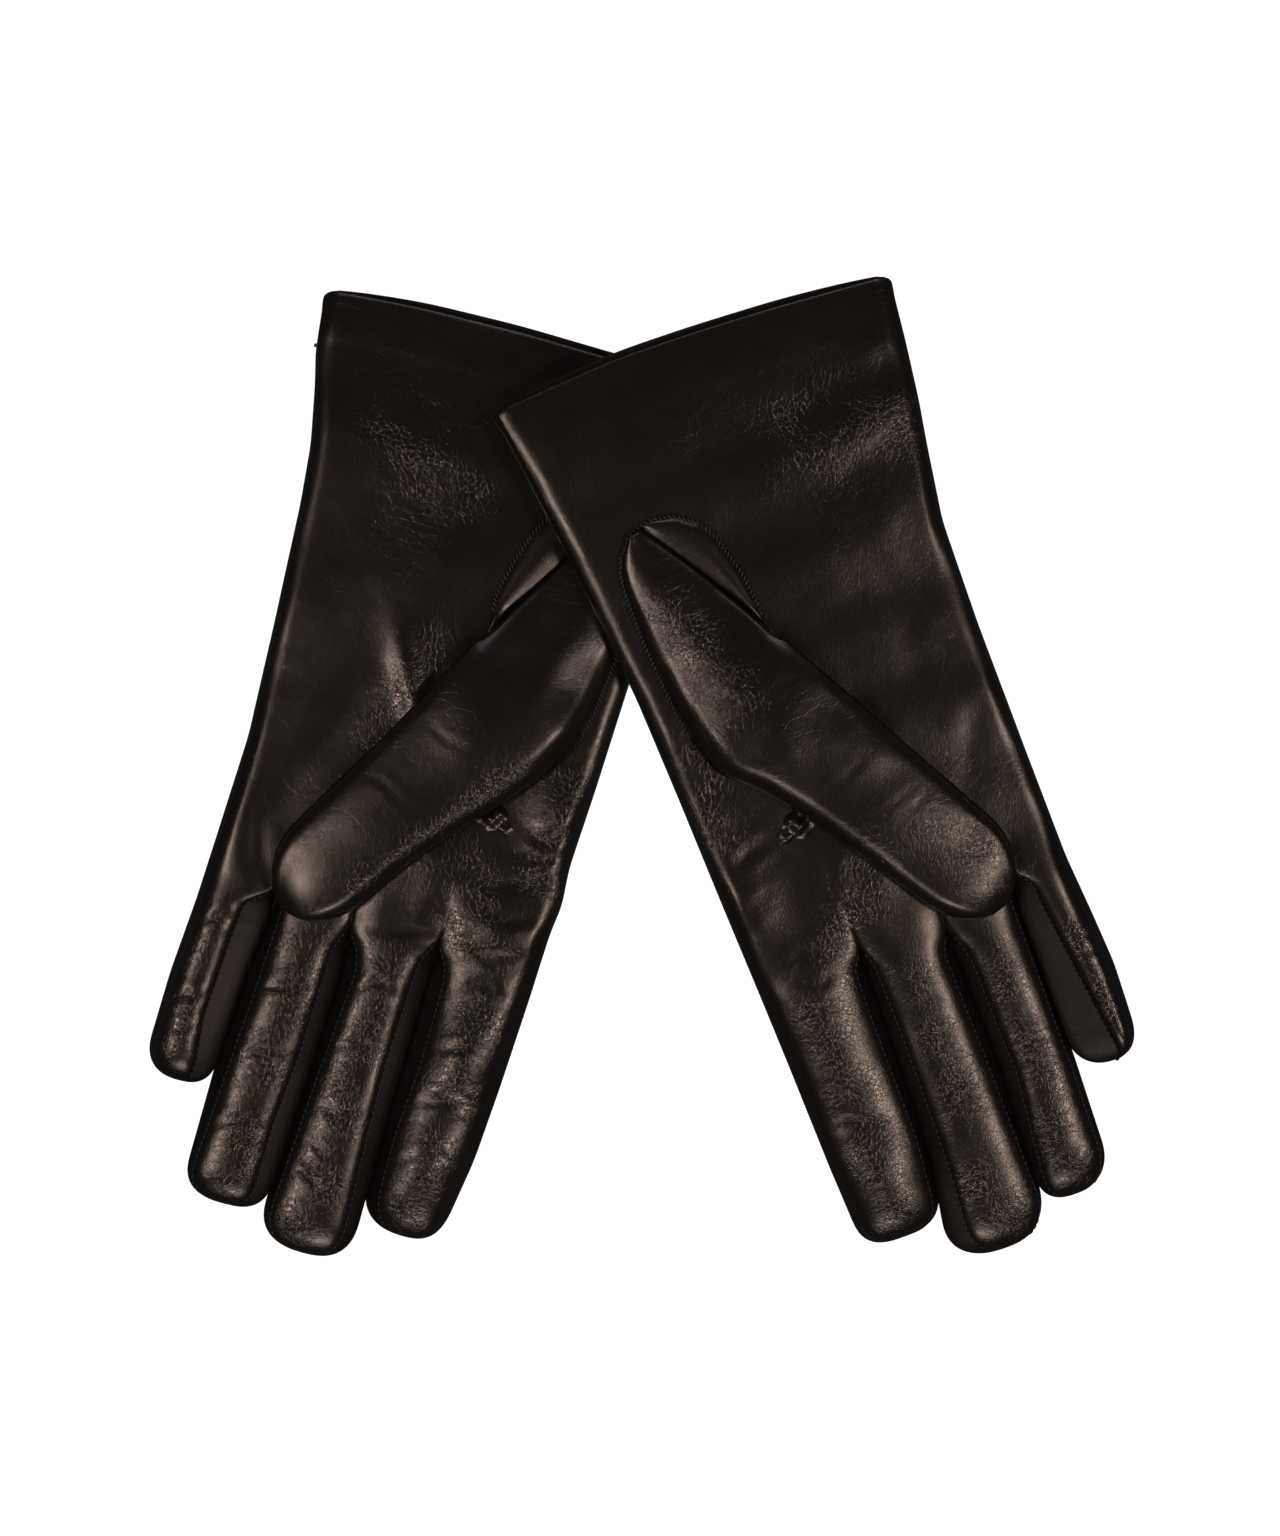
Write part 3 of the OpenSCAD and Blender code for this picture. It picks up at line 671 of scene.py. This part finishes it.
def make_finger(glove, k, looks):
    """Finger k: palm strip, back strip, side strips or folds, lining and seam stitches."""
    name = STRIPS[k]
    rows = finger_rows(glove, k)
    before = np.arange(SPLIT - 3, SPLIT, STEP)
    lead = len(before)
    rows = np.concatenate([before, rows])
    palm = strip(glove, k, rows)
    low, high = body_edge(glove, k, 0, rows), body_edge(glove, k, 1, rows)
    low_lean = LEAN if k > 0 else 0
    high_lean = LEAN if k < 3 else 0
    low_under = low + (0.4 - low_lean / 2 if k > 0 else 1.3)
    high_under = high - (0.4 + high_lean / 2 if k < 3 else 1.3)
    under = back(glove, rows, low_under, high_under, COLUMNS[k] // 2 + 1)
    high_wall = wall(palm[:, -1], under[:, 0], high, high_lean)
    low_wall = wall(palm[:, 0], under[:, -1], low, low_lean)[:, ::-1]
    flat = {"palm": palm, "high": high_wall, "under": under, "low": low_wall}
    sheets = {key: round_tip(grid, glove, k) for key, grid in flat.items()}
    middle = float((low + high)[0] / 2)
    start, end = (middle, BEND[0], 0), (middle, BEND[1], 0)
    higher = [f"{name}_fourchette_{STRIPS[k + 1]}"] if k < 3 else []
    lower = [f"{name}_fourchette_{STRIPS[k - 1]}"] if k > 0 else []
    jobs = [("palm", "palm_strip", [f"{name}_palm_strip"]), ("under", "back_strip", [f"{name}_back_strip"]),
            ("high", "index_side", higher), ("low", "little_side", lower)]
    for key, label, nodes in jobs:
        grid = sheets[key]
        between = key in ("high", "low") and nodes
        # Strips between fingers take the darker fourchette copy of the leather: painted shade between the
        # fingers.
        look = looks["fourchette" if between else "leather"]
        piece = shell(glove, f"{name}_{label}_leather", grid[lead:], look,
                      facing=normals(grid)[lead:], rest=flat[key][lead:])
        bend(piece, glove, name, start, end, "fourchette_leather" if between else "leather", *nodes)
    whole = ring_of(sheets["palm"], sheets["high"], sheets["under"], sheets["low"])[lead:]
    lining = shell(glove, f"{name}_lining_knit", whole[:-2:3, ::2], looks["lining"], LEATHER + 0.3, 0.4)
    bend(lining, glove, name, start, end, "lining", f"{name}_lining")
    for side in (0, 1):
        if outer(k, side):
            continue
        crotch = glove.shape["crotches"][k - 1 + side]
        line = sheets["palm"][lead:-3, -side]
        line = line[line[:, 1] > crotch + 1]
        paths = stitches(line, np.gradient(line, axis=0), 1.9, 1.5, 0.3, -0.05)
        seam = thread(glove, f"{name}_seam_stitches_{side}", paths, looks["thread"], 0.2)
        bend(seam, glove, name, start, end, "thread")


# ---- the thumb ----

def oval_sides(glove, y):
    """The thumb hole's two sides, across the thumb, at y along it."""
    left, right = glove.shape["oval"]
    return np.interp(y, *np.array(left, float).T), np.interp(y, *np.array(right, float).T)


def inside_oval(glove, u, v, margin):
    """Whether each point of the palm lies in the thumb's hole, by more than margin."""
    du, dv = u - glove.thumb_at[0], v - glove.thumb_at[1]
    x = du * glove.thumb_axes[0, 0] + dv * glove.thumb_axes[0, 1]
    y = du * glove.thumb_axes[1, 0] + dv * glove.thumb_axes[1, 1]
    left, right = oval_sides(glove, y)
    return (x > left + margin) & (x < right - margin) & (y > -45 + margin) & (y < -margin)


def thumb_top(y):
    """Height of the thumb's upper face along it: low near the wrist, full height past its bending line."""
    heights = [(-48, 9.4), (-40, 10.0), (-16, 11.2), (-4, 13.0),
               (8, 15.8), (20, 16.6), (60, 16.4), (100, 15.4)]
    return curve(heights, y, 3)


def make_thumb(glove, looks):
    """The set-in thumb: its root in the oval hole, then the folded thumb lying on the palm."""
    tip_x, tip_y, radius, power = glove.shape["thumb_tip"]
    root = -45.0 + 45 * (1 - np.cos(np.radians(np.linspace(1.5, 30, 9))))
    turn = np.radians(np.linspace(0, 87.5, 21))
    straight = np.arange(root[-1] + 1, tip_y - radius, STEP)
    y = np.concatenate([root, straight, tip_y - radius + radius * np.sin(turn)])[:, None]
    fold = curve(glove.shape["fold"], y, 6)
    left, right = oval_sides(glove, y)
    loose_left = ramp(y, -7, 7)
    loose_right = ramp(y, 6, 22)
    seam = curve(glove.shape["thumb_seam"], y, 5)
    right_x = right + (seam - right) * loose_right
    palm, underside = 8.7, 9.4
    top_z = thumb_top(y)
    middle_z = 9.6 + (top_z - 9.6) * 0.42
    # Left of the fold: the gusset of leather that slopes from the hole's seam up under the fold.
    t = np.linspace(0, 1, 17)[None, :]
    fold_x = np.maximum(fold, left + 1.2)
    near = np.clip(t / 0.75, 0, 1)
    rise = np.clip((t - 0.75) / 0.25, 0, 1)
    tucked = fold_x + 0.9 * np.clip((fold_x - left) / 4, 0, 1)
    slope_x = left + (tucked - left) * near + (fold_x - tucked) * rise
    slope_z = palm - 0.1 + 1.1 * np.sin(np.pi * near ** 0.8) - 0.5 * near ** 2 + (top_z - palm + 0.1) * rise
    edge_x = fold - 0.9 * np.sin(np.pi * (0.15 + 0.7 * t)) + 1.0 * t * t
    edge_z = middle_z + (top_z - 0.7 - middle_z) * (1 - (1 - t) ** 1.6)
    first_x = slope_x + (edge_x - slope_x) * loose_left
    first_z = slope_z + (edge_z - slope_z) * loose_left
    # Right of the fold: the thumb's upper face.
    s = np.linspace(0, 1, 34)[None, 1:]
    start_x, start_z = first_x[:, -1:], first_z[:, -1:]
    s = 1 - (1 - s) ** 1.15
    face_x = start_x + (right_x - start_x) * s
    end_z = palm + 0.2 + (middle_z - palm - 0.2) * loose_right
    crown = top_z + 1.6 * np.sin(np.pi * np.clip(s * 0.9, 0, 1))
    lift = np.clip(s / 0.1, 0, 1)
    face_z = start_z + (crown - start_z) * np.sqrt(1 - (1 - lift) ** 2)
    drop = np.clip((1 - s) / 0.18, 0, 1)
    face_z = end_z + (face_z - end_z) * np.sqrt(1 - (1 - drop) ** 2)
    x = np.concatenate([first_x, face_x], axis=1)
    z = np.concatenate([first_z, face_z], axis=1)
    place_y = y + 0 * x
    u, v = glove.from_thumb(x, place_y)
    column = np.arange(x.shape[1])
    inner = np.clip((column - 17) / 4, 0, 1) * np.clip((x.shape[1] - 1 - column) / 5, 0, 1)
    detail = relief(glove, u, v, THUMB_CREASES[glove.side], THUMB_SWELLS[glove.side])
    z = z + inner * (detail + fine_wrinkles(glove, u, v))
    # The lower half, from the seam edge back to the fold.
    w = np.linspace(0, 1, 20)[None, :]
    under_x = right_x + (first_x[:, :1] - right_x) * w
    at_seam = np.clip(1 - w / 0.14, 0, 1) ** 2
    at_fold = np.clip((w - 0.86) / 0.14, 0, 1) ** 2
    under_z = underside + (middle_z - underside) * at_seam + (first_z[:, :1] - underside) * at_fold
    under_y = y + 0 * under_x

    def rounded(px, py, pz):
        """Points of the thumb drawn together into its rounded tip."""
        t = np.clip((py - tip_y + radius) / radius, 0, 1)
        narrow = (1 - t ** power) ** (1 / power)
        low = (1 - t ** 2.6) ** (1 / 2.4)
        centre = (fold + right_x) / 2
        px = centre + (tip_x - centre) * t * t + (px - centre) * narrow
        pz = middle_z + (pz - middle_z) * low
        pu, pv = glove.from_thumb(px, py)
        return np.stack([pu, pv, pz], -1)

    upper = rounded(x, place_y, z)
    lower = rounded(under_x, under_y, under_z)
    facing = normals(upper)
    last = (y[:, 0] <= -9).sum()
    flat_upper = np.stack([u, v, z], -1)
    piece = shell(glove, "thumb_base_leather", upper[:last], looks["leather"],
                  facing=facing[:last], rest=flat_upper[:last])
    ride(piece, glove, "leather", "thumb_base")
    bu, bv = glove.from_thumb(0, -8)
    eu, ev = glove.from_thumb(0, 12)
    start, end = (bu, bv, 0), (eu, ev, 0)
    piece = shell(glove, "thumb_front_leather", upper[last - 1:], looks["leather"],
                  facing=facing[last - 1:], rest=flat_upper[last - 1:])
    bend(piece, glove, "thumb", start, end, "leather", "thumb_front")
    free = y[:, 0] > 2
    piece = shell(glove, "thumb_back_leather", lower[free], looks["leather"])
    bend(piece, glove, "thumb", start, end, "leather", "thumb_back")
    whole = np.concatenate([upper[free][:-2:3, ::2], lower[free][:-2:3, 1::2]], axis=1)
    piece = shell(glove, "thumb_lining_knit", whole, looks["lining"], LEATHER + 0.4, 0.4)
    bend(piece, glove, "thumb", start, end, "lining", "thumb_lining")
    make_thumb_stitches(glove, looks, upper, y[:, 0])


def make_gusset(glove, looks):
    """Crumpled end of the thumb's gusset, which shows past the thumb's lower edge."""
    at_u, at_v = glove.shape["gusset"]
    a = np.linspace(0, 2 * np.pi, 61)[None, :]
    r = np.linspace(0.02, 1, 25)[:, None]
    wobble = 1 + 0.12 * np.sin(3 * a + 1) + 0.07 * np.sin(5 * a)
    across = 7.0 * r * np.cos(a) * wobble
    along = 5.0 * r * np.sin(a) * wobble
    folds = np.cos(1.1 * across + 0.6 * along) + 0.5 * np.sin(1.5 * along - 0.5 * across)
    height = 8.2 + (1 - r ** 2) * (1.5 + 0.4 * folds)
    grid = np.stack([at_u + across, at_v + along + 0.25 * across, height], -1)[::-1]
    piece = shell(glove, "thumb_gusset_leather", grid, looks["leather"], 0, 0.4)
    ride(piece, glove, "leather")


def make_knot(glove, looks):
    """Knotted end of the side seam's thread, near the cuff."""
    at_u, at_v, at_z = -59.2, 19.0, 3.4
    radius, rise = 0.45, 0.055
    t = np.linspace(0, 5 * np.pi, 40)
    coil = np.stack([at_u + radius * np.cos(t), at_v + rise * t, at_z + radius * np.sin(t)], -1)
    piece = thread(glove, "side_seam_knot", [coil], looks["thread"], 0.25)
    ride(piece, glove, "thread")


def make_thumb_stitches(glove, looks, upper, y):
    """Overlock stitches that cross the seam round the thumb's hole."""
    left = upper[(y < -1), 0][::-1]
    right = upper[(y < 9), -1]
    line = np.concatenate([left, right])
    line[:, 2] += 0.1
    ahead = np.gradient(line, axis=0)
    across = np.stack([ahead[:, 1], -ahead[:, 0], 0 * ahead[:, 0]], -1)
    slanted = across / np.linalg.norm(across, axis=1, keepdims=True)
    slanted = slanted + 1.0 * ahead / np.linalg.norm(ahead, axis=1, keepdims=True)
    paths = stitches(line, slanted, 1.35, 2.1, 0.4)
    piece = thread(glove, "thumb_hole_thread", paths, looks["thread"], 0.33)
    ride(piece, glove, "thread", "thumb_hole_stitches")


# ---- materials ----

def new_material(name):
    """A new material, its node tree and its Principled BSDF."""
    material = bpy.data.materials.new(name)
    material.use_nodes = True
    tree = material.node_tree
    return material, tree, tree.nodes["Principled BSDF"]


def add(tree, kind, settings=None, **inputs):
    """A node with its settings and its inputs' values or links. i0 is the first input, and _ is a space."""
    made = tree.nodes.new("ShaderNode" + kind)
    for key, value in (settings or {}).items():
        setattr(made, key, value)
    for key, value in inputs.items():
        numbered = key[0] == "i" and key[1:].isdigit()
        socket = made.inputs[int(key[1:]) if numbered else key.replace("_", " ")]
        if isinstance(value, bpy.types.NodeSocket):
            tree.links.new(value, socket)
        else:
            socket.default_value = value
    return made


def maths(tree, operation, a, b=0.0, clamp=False):
    """The result of one sum on two values."""
    return add(tree, "Math", {"operation": operation, "use_clamp": clamp}, i0=a, i1=b).outputs[0]


def shift(tree, noise, amount, place):
    """The place moved by a noise texture's colour, up to the given amount each way."""
    amounts = (amount, amount, amount)
    colour = noise.outputs["Color"]
    return add(tree, "VectorMath", {"operation": "MULTIPLY_ADD"}, i0=colour, i1=amounts, i2=place).outputs[0]


def two_tones(tree, amount, colour, low, high):
    """The colour made darker or lighter, by the factors low and high, as amount goes from 0 to 1."""
    dark = (*[c * low for c in colour], 1)
    light = (*[c * high for c in colour], 1)
    return add(tree, "Mix", {"data_type": "RGBA"}, i0=amount, i6=dark, i7=light).outputs[2]


def grooves(tree, place, scale, width, depth):
    """Height of grooves along the edges of Voronoi cells: 0 inside the cells and -depth on their edges."""
    cells = add(tree, "TexVoronoi", {"feature": "DISTANCE_TO_EDGE"}, Vector=place, Scale=scale)
    edge = maths(tree, "DIVIDE", maths(tree, "MINIMUM", cells.outputs["Distance"], width), width)
    return maths(tree, "MULTIPLY", maths(tree, "SUBTRACT", edge, 1.0), depth)


def leather_look(name, dark, light, roughness, gloss):
    """Nappa leather: fine pores and grain, crackled and lighter where it is worn, dark with a soft warm
    shine. The lighter colour there is partly real rubbing and partly a painted highlight.
    """
    material, tree, shader = new_material(name)
    rest = add(tree, "Attribute", {"attribute_name": "rest"}).outputs["Vector"]
    wear_and_highlight = add(tree, "Attribute", {"attribute_name": "wear_and_highlight"}).outputs["Fac"]
    warp = add(tree, "TexNoise", Vector=rest, Scale=0.35, Detail=3.0)
    shifted = shift(tree, warp, 1.6, rest)
    pores = add(tree, "TexNoise", Vector=rest, Scale=3.2, Detail=4.0, Roughness=0.65)
    broad = add(tree, "TexNoise", Vector=rest, Scale=0.03, Detail=3.0)
    grain = grooves(tree, shifted, 1.15, 0.12, maths(tree, "ADD", maths(tree, "MULTIPLY", wear_and_highlight, 0.1), 0.15))
    cracks = grooves(tree, shifted, 0.62, 0.07, maths(tree, "ADD", maths(tree, "MULTIPLY", wear_and_highlight, 0.6), 0.04))
    stretched = add(tree, "Mapping", Vector=rest, Scale=(0.13, 0.34, 0.2)).outputs[0]
    stray = add(tree, "TexNoise", Vector=rest, Scale=0.12, Detail=5.0, Roughness=0.6)
    bent = shift(tree, stray, 1.3, stretched)
    where = add(tree, "TexNoise", Vector=rest, Scale=0.045, Detail=2.0)
    where = maths(tree, "MULTIPLY", maths(tree, "SUBTRACT", where.outputs["Fac"], 0.47, True), 5.0, True)
    where = maths(tree, "ADD", maths(tree, "MULTIPLY", where, 0.55), maths(tree, "MULTIPLY", wear_and_highlight, 0.6), True)
    lines = grooves(tree, bent, 1.0, 0.05, maths(tree, "MULTIPLY", where, 0.6))
    height = maths(tree, "ADD", maths(tree, "ADD", grain, cracks), lines)
    height = maths(tree, "ADD", height, maths(tree, "MULTIPLY", pores.outputs["Fac"], 0.08))
    bump = add(tree, "Bump", Height=height, Distance=0.00006, Strength=1.0)
    tree.links.new(bump.outputs["Normal"], shader.inputs["Normal"])
    tone = maths(tree, "MULTIPLY", broad.outputs["Fac"], 0.7)
    # Lighter colour along the mask: partly real rubbing, partly a painted highlight on the lit ridges.
    tone = maths(tree, "ADD", tone, maths(tree, "MULTIPLY", wear_and_highlight, 0.35), True)
    colour = add(tree, "Mix", {"data_type": "RGBA"}, i0=tone, i6=(*dark, 1), i7=(*light, 1))
    tree.links.new(colour.outputs[2], shader.inputs["Base Color"])
    patchy = add(tree, "TexNoise", Vector=rest, Scale=0.12, Detail=4.0)
    rough = maths(tree, "ADD", maths(tree, "MULTIPLY", patchy.outputs["Fac"], 0.07), roughness - 0.035)
    rough = maths(tree, "SUBTRACT", rough, maths(tree, "MULTIPLY", wear_and_highlight, 0.06), True)
    tree.links.new(rough, shader.inputs["Roughness"])
    shader.inputs["IOR"].default_value = 1.5
    shader.inputs["Specular Tint"].default_value = (1.0, 0.86, 0.78, 1)
    shader.inputs["Specular IOR Level"].default_value = gloss
    return material


def knit_look(name, colour):
    """Fine ribbed knit of the lining."""
    material, tree, shader = new_material(name)
    rest = add(tree, "Attribute", {"attribute_name": "rest"}).outputs["Vector"]
    ribs = add(tree, "TexWave", {"bands_direction": "X"}, Vector=rest, Scale=0.22, Distortion=0.6)
    loops = add(tree, "TexWave", {"bands_direction": "Y"}, Vector=rest, Scale=0.3, Distortion=0.8)
    height = maths(tree, "ADD", ribs.outputs["Fac"], maths(tree, "MULTIPLY", loops.outputs["Fac"], 0.6))
    bump = add(tree, "Bump", Height=height, Distance=0.00015, Strength=0.8)
    tree.links.new(bump.outputs["Normal"], shader.inputs["Normal"])
    fleck = add(tree, "TexNoise", Vector=rest, Scale=1.5, Detail=3.0)
    shade = two_tones(tree, fleck.outputs["Fac"], colour, 0.6, 1.4)
    tree.links.new(shade, shader.inputs["Base Color"])
    rough = maths(tree, "ADD", maths(tree, "MULTIPLY", fleck.outputs["Fac"], 0.1), 0.8)
    tree.links.new(rough, shader.inputs["Roughness"])
    shader.inputs["Sheen Weight"].default_value = 0.4
    return material


def thread_look(name, colour):
    """Twisted sewing thread with a slight shine."""
    material, tree, shader = new_material(name)
    rest = add(tree, "Attribute", {"attribute_name": "rest"}).outputs["Vector"]
    twist = add(tree, "TexWave", {"bands_direction": "DIAGONAL"}, Vector=rest, Scale=1.6, Distortion=0.5)
    bump = add(tree, "Bump", Height=twist.outputs["Fac"], Distance=0.00004, Strength=0.8)
    tree.links.new(bump.outputs["Normal"], shader.inputs["Normal"])
    # The colour follows the twist's bump: darker in its grooves as painted shade, lighter on its ridges as a
    # painted highlight.
    shade = two_tones(tree, twist.outputs["Fac"], colour, 0.7, 1.3)
    tree.links.new(shade, shader.inputs["Base Color"])
    rough = maths(tree, "ADD", maths(tree, "MULTIPLY", twist.outputs["Fac"], 0.15), 0.38)
    tree.links.new(rough, shader.inputs["Roughness"])
    return material


# ---- light, floor and camera ----

def area_light(name, place, size, power, colour):
    """A soft box at place, facing the middle of the pair."""
    light = bpy.data.lights.new(name, "AREA")
    light.shape = "RECTANGLE"
    light.size, light.size_y = size
    light.energy = power
    light.color = colour
    lamp = bpy.data.objects.new(name, light)
    lamp.location = place
    lamp.rotation_euler = (-Vector(place)).to_track_quat("-Z", "Y").to_euler()
    scene.collection.objects.link(lamp)


def make_floor():
    """A plain white floor that stays white to its edges."""
    mesh = bpy.data.meshes.new("floor")
    half = 2.0
    corners = [(-half, -half, 0), (half, -half, 0), (half, half, 0), (-half, half, 0)]
    mesh.from_pydata(corners, [], [(0, 1, 2, 3)])
    material, _, shader = new_material("white_floor")
    shader.inputs["Base Color"].default_value = (0.3, 0.3, 0.3, 1)
    shader.inputs["Roughness"].default_value = 0.9
    shader.inputs["Emission Color"].default_value = (1, 1, 1, 1)
    shader.inputs["Emission Strength"].default_value = 1.0
    mesh.materials.append(material)
    floor = bpy.data.objects.new("floor", mesh)
    floor.location.z = -0.0002
    scene.collection.objects.link(floor)
    floor.visible_glossy = False


def make_camera():
    """The photographer's view: straight down, with the whole pair in the middle of the sheet."""
    height, above, covers = 1.5, 0.008, 0.4301
    data = bpy.data.cameras.new("camera")
    data.sensor_width = 36
    data.lens = 36 * (height - above) / covers
    camera = bpy.data.objects.new("camera", data)
    camera.location = (0, -0.0003, height)
    scene.collection.objects.link(camera)
    bpy.context.scene.camera = camera


def make_world():
    """A dim, even room."""
    world = bpy.data.worlds.new("room")
    world.use_nodes = True
    background = world.node_tree.nodes["Background"]
    background.inputs["Color"].default_value = (0.9, 0.92, 1, 1)
    background.inputs["Strength"].default_value = 0.03
    scene.world = world


# ---- the pair ----

looks = {
    "leather": leather_look("nappa_leather", (0.004, 0.0033, 0.003), (0.0095, 0.0074, 0.0066), 0.25, 0.5),
    # The fourchette copy is darker and less glossy than the leather: painted shade between the fingers.
    "fourchette": leather_look("fourchette_leather", (0.003, 0.0026, 0.0026), (0.006, 0.0048, 0.0045),
                               0.42, 0.22),
    "lining": knit_look("lining_knit", (0.03, 0.028, 0.028)),
    "thread": thread_look("sewing_thread", (0.012, 0.011, 0.011)),
}
for side, seed in (("left", 11), ("right", 42)):
    glove = Glove(side, seed)
    make_hand(glove, looks)
    for k in range(4):
        make_finger(glove, k, looks)
    make_thumb(glove, looks)
    make_gusset(glove, looks)
    if side == "left":
        make_knot(glove, looks)

make_floor()
make_world()
make_camera()
area_light("left_key", (-0.57, -0.12, 1.17), (0.35, 0.1), 4.0, (1.0, 0.88, 0.79))
area_light("right_key", (0.6, -0.2, 1.15), (0.35, 0.1), 4.0, (1.0, 0.88, 0.79))
area_light("front_box", (0.0, -1.0, 1.05), (0.6, 0.12), 5, (1.0, 0.91, 0.84))
area_light("back_box", (0.1, 1.1, 0.9), (1.0, 0.2), 3, (0.9, 0.94, 1.0))
scene.view_settings.view_transform = "Standard"
